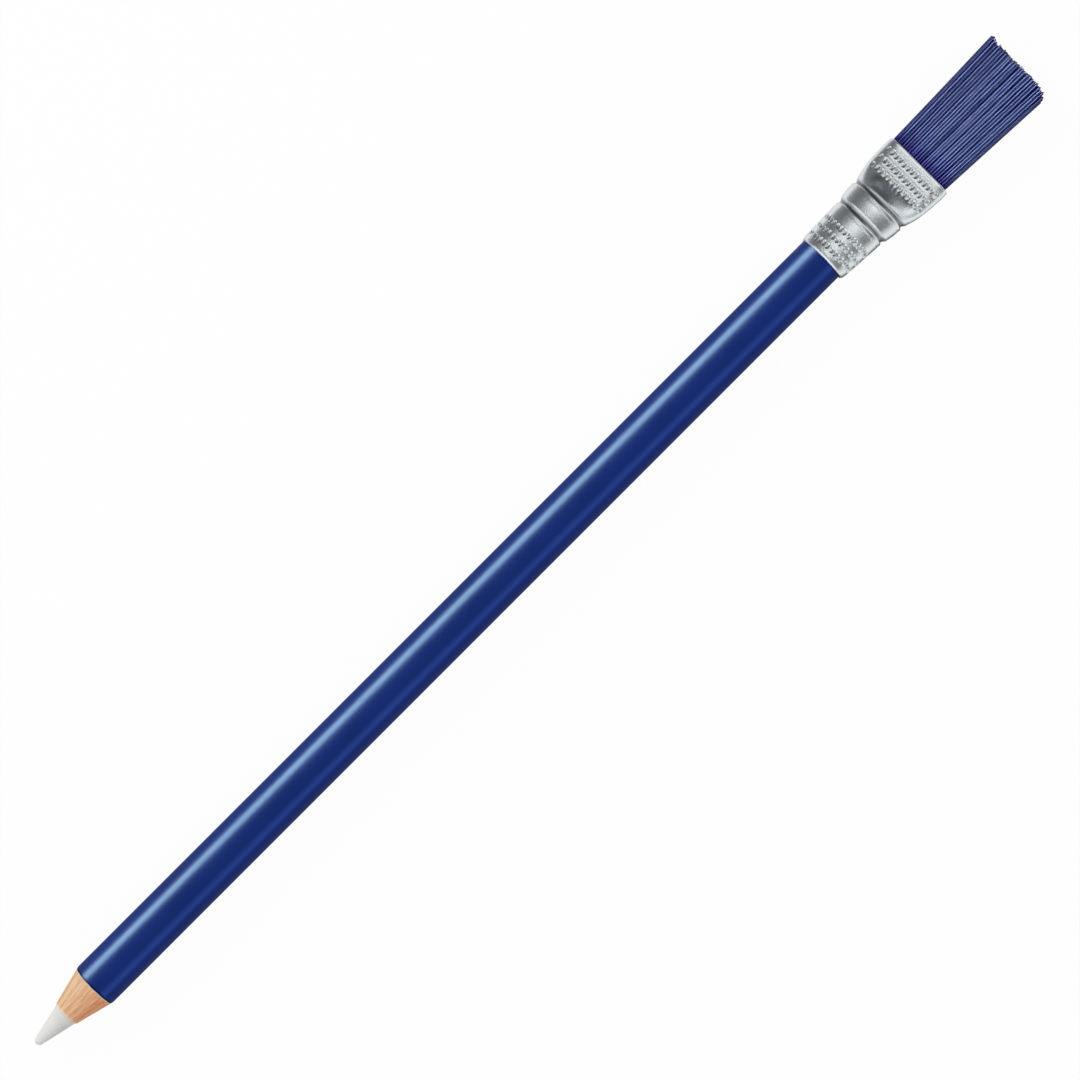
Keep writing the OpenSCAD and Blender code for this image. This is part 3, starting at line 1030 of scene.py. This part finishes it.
# Floor, in metres; pairs say where a change starts and ends
FLOOR_R = 6.0
FLOOR_GAP = 0.00005
FLOOR_GLOW = 0.965
FLOOR_IN_GLOSS = 0.9
SHADOW_IN_GLOSS = 0.22
HEAD_SHADOW = (0.009, 0.012)
HEAD_START = ((RIM_X - 3) * MM, RIM_X * MM)
BARREL_SHADOW = (0.007, 0.015)
LIT_EDGE = (0.0, 0.004)
DIM_BEYOND = (0.015, 0.028)
DIM_IN_GLOSS = 0.24
FADE_BEYOND = (-0.012, -0.06)
FADE_IN_GLOSS = 0.6
BEYOND_BRUSH = (0.16, 0.12)

# Room, by direction
FILL_LEVEL = 0.54
WALL_LEFT = 0.16
WALL_RIGHT = 0.20
WALL_TURN = (0.6, -0.6)
WALL_BACK_DIM = 0.42
WALL_BACK = (0.5, 0.9)
CEILING_RISE = 0.97
CEILING_FOCUS = 6.0
CEILING_ENDS = ((0.45, 0.0), (-0.42, -0.02))
HORIZON_LEVEL = 0.6
HORIZON_UP = (0.15, 0.0)
HORIZON_ASIDE = (0.0, -0.3)
FRONT_LEVEL = 1.0
FRONT_ALONG = (-0.35, -0.6)
FRONT_UP = (0.95, 0.85)
PANEL_LEVEL = 0.85
PANEL_ENDS = ((0.1, 0.3), (0.95, 0.8))
PANEL_ASIDE = (-0.12, -0.42)

# Lamps: distance, tilt towards +Y in degrees, size and watts
KEY = (0.8, 40, (0.5, 0.5), 2.75)
SHEEN = (0.5, 62, (0.7, 0.25), 68.0)
SHEEN_COLOUR = (0.9, 0.93, 1.0)
SECOND_SHEEN = (0.5, -62, (0.7, 0.25), 10.2)
SECOND_SHEEN_COLOUR = (0.33, 0.45, 1.0)
BRUSH_SHINE = (0.4, 0, (0.3, 0.22), 9.0)

# Camera, and where the pencil's two ends lie on the picture's diagonal
PICTURE = 1080
TIP_PIXEL = 36.3
END_PIXEL = 1018.7
CAMERA_HEIGHT = 600.0
CAMERA_TURN = math.radians(-45)
SENSOR = 36.0


def product(tree, *factors):
    """All the factors multiplied."""
    total = factors[0]
    for factor in factors[1:]:
        total = math_node(tree, "MULTIPLY", total, factor)
    return total


def seen_directly(tree):
    """1 for rays that show the background: from the camera, off gloss and through glass."""
    path = add(tree, "ShaderNodeLightPath")
    total = path.outputs["Is Camera Ray"]
    for name in ("Is Glossy Ray", "Is Transmission Ray"):
        total = math_node(tree, "MAXIMUM", total, path.outputs[name])
    return total


def floor_level(tree):
    """White to the camera; in gloss, dim in the pencil's shadow, past the brush and far to the sides."""
    position = add(tree, "ShaderNodeNewGeometry").outputs["Position"]
    parts = add(tree, "ShaderNodeSeparateXYZ", {0: position})
    x, y = parts.outputs["X"], parts.outputs["Y"]
    aside = math_node(tree, "ABSOLUTE", y, 0.0)
    past_head = soft_step(tree, aside, *HEAD_SHADOW)
    by_head = math_node(tree, "MAXIMUM", soft_step(tree, y, *LIT_EDGE), past_head)
    by_barrel = soft_step(tree, aside, *BARREL_SHADOW)
    clear = mix_value(tree, soft_step(tree, x, *HEAD_START), by_barrel, by_head)
    clear = product(tree, clear, soft_step(tree, x, *BEYOND_BRUSH))
    lit = spread(tree, soft_step(tree, y, *FADE_BEYOND), FLOOR_IN_GLOSS, FADE_IN_GLOSS, WHOLE)
    near = mix_value(tree, clear, SHADOW_IN_GLOSS, lit)
    in_gloss = mix_value(tree, soft_step(tree, y, *DIM_BEYOND), near, DIM_IN_GLOSS)
    to_camera = add(tree, "ShaderNodeLightPath").outputs["Is Camera Ray"]
    return math_node(tree, "MAXIMUM", to_camera, in_gloss)


def make_floor():
    """A wide white floor, which glows enough to look white and still shows a faint shadow."""
    mesh = bpy.data.meshes.new("floor")
    work = bmesh.new()
    bmesh.ops.create_circle(work, cap_ends=True, segments=96, radius=FLOOR_R)
    work.to_mesh(mesh)
    work.free()
    floor = bpy.data.objects.new("floor", mesh)
    floor.location.z = cad_low.z - FLOOR_GAP
    bpy.context.scene.collection.objects.link(floor)
    material, tree, shader = new_material("floor_white")
    tree.nodes.remove(shader)
    paper = add(tree, "ShaderNodeBsdfDiffuse", {"Color": (0.9, 0.9, 0.9, 1.0)})
    glow = add(tree, "ShaderNodeEmission", {"Color": (1, 1, 1, 1), "Strength": floor_level(tree)})
    share = product(tree, seen_directly(tree), FLOOR_GLOW)
    both = add(tree, "ShaderNodeMixShader", {0: share, 1: paper.outputs[0], 2: glow.outputs[0]})
    tree.links.new(both.outputs[0], tree.nodes["Material Output"].inputs["Surface"])
    mesh.materials.append(material)


def studio_level(tree):
    """Brightness of the room by direction: grey walls, a soft ceiling and white panels."""
    direction = add(tree, "ShaderNodeTexCoord").outputs["Generated"]
    parts = add(tree, "ShaderNodeSeparateXYZ", {0: direction})
    x, y, z = parts.outputs["X"], parts.outputs["Y"], parts.outputs["Z"]
    back = spread(tree, soft_step(tree, x, *WALL_BACK), 1.0, WALL_BACK_DIM, WHOLE)
    level = product(tree, spread(tree, y, WALL_LEFT, WALL_RIGHT, WALL_TURN), back)
    above = math_node(tree, "POWER", math_node(tree, "MAXIMUM", z, 0.0), CEILING_FOCUS)
    ceiling_ends = [soft_step(tree, x, *end) for end in CEILING_ENDS]
    level = math_node(tree, "ADD", level, product(tree, above, *ceiling_ends, CEILING_RISE))
    panel_ends = [soft_step(tree, x, *end) for end in PANEL_ENDS]
    panels = [
        (soft_step(tree, z, *HORIZON_UP), soft_step(tree, y, *HORIZON_ASIDE), HORIZON_LEVEL),
        (soft_step(tree, x, *FRONT_ALONG), soft_step(tree, z, *FRONT_UP), FRONT_LEVEL),
        (*panel_ends, soft_step(tree, y, *PANEL_ASIDE), PANEL_LEVEL),
    ]
    for panel in panels:
        level = math_node(tree, "MAXIMUM", level, product(tree, *panel))
    return level


def make_world():
    """The studio where the room is seen, and an even light elsewhere."""
    world = bpy.data.worlds.new("studio")
    bpy.context.scene.world = world
    world.use_nodes = True
    tree = world.node_tree
    level = mix_value(tree, seen_directly(tree), FILL_LEVEL, studio_level(tree))
    feed(tree, tree.nodes["Background"], {"Color": (1, 1, 1, 1), "Strength": level})


def area_light(name, aim, distance, tilt, size, watts):
    """A soft rectangular lamp that the camera doesn't see, tilted from straight above its aim."""
    data = bpy.data.lights.new(name, "AREA")
    data.shape = "RECTANGLE"
    data.size, data.size_y = size
    data.energy = watts
    lamp = bpy.data.objects.new(name, data)
    bpy.context.scene.collection.objects.link(lamp)
    angle = math.radians(tilt)
    lamp.location = aim + distance * Vector((0, math.sin(angle), math.cos(angle)))
    lamp.rotation_euler = (aim - lamp.location).to_track_quat("-Z", "Y").to_euler()
    lamp.visible_camera = False
    return lamp


def gloss_light(name, aim, settings, pieces, colour=(1.0, 1.0, 1.0)):
    """A lamp that only shows as a highlight on some pieces."""
    lamp = area_light(name, aim, *settings)
    lamp.data.color = colour
    lamp.visible_diffuse = False
    lamp.visible_transmission = False
    group = bpy.data.collections.new(f"{name}_shown_on")
    for piece in pieces:
        group.objects.link(piece)
    lamp.light_linking.receiver_collection = group


def make_lights():
    """A soft key light, two sheens along the barrel and a shine on the brush."""
    middle = Vector((0, 0, AXIS_Z * MM))
    brush_middle = Vector(((MOUTH_X + BRISTLE_END) / 2, 0, AXIS_Z)) * MM
    area_light("key", middle, *KEY).visible_glossy = False
    gloss_light("sheen", middle, SHEEN, [lacquer], SHEEN_COLOUR)
    gloss_light("second_sheen", middle, SECOND_SHEEN, [lacquer], SECOND_SHEEN_COLOUR)
    gloss_light("brush_shine", brush_middle, BRUSH_SHINE, tuft)


def make_camera():
    """Looks straight down on the pencil, turned so that it lies along the picture's diagonal."""
    pixels_per_mm = (END_PIXEL - TIP_PIXEL) * math.sqrt(2) / (BRISTLE_END - TIP_X)
    aim_x = TIP_X + (PICTURE / 2 - TIP_PIXEL) * math.sqrt(2) / pixels_per_mm
    data = bpy.data.cameras.new("camera")
    data.sensor_width = SENSOR
    data.lens = pixels_per_mm * CAMERA_HEIGHT * SENSOR / PICTURE
    data.clip_start = 0.01
    data.clip_end = 50.0
    camera = bpy.data.objects.new("camera", data)
    bpy.context.scene.collection.objects.link(camera)
    place_above = Matrix.Translation(Vector((aim_x, 0, AXIS_Z + CAMERA_HEIGHT)) * MM)
    camera.matrix_world = place_above @ Matrix.Rotation(CAMERA_TURN, 4, "Z")
    bpy.context.scene.camera = camera


make_floor()
make_world()
make_lights()
make_camera()
bpy.context.scene.view_settings.view_transform = "Standard"
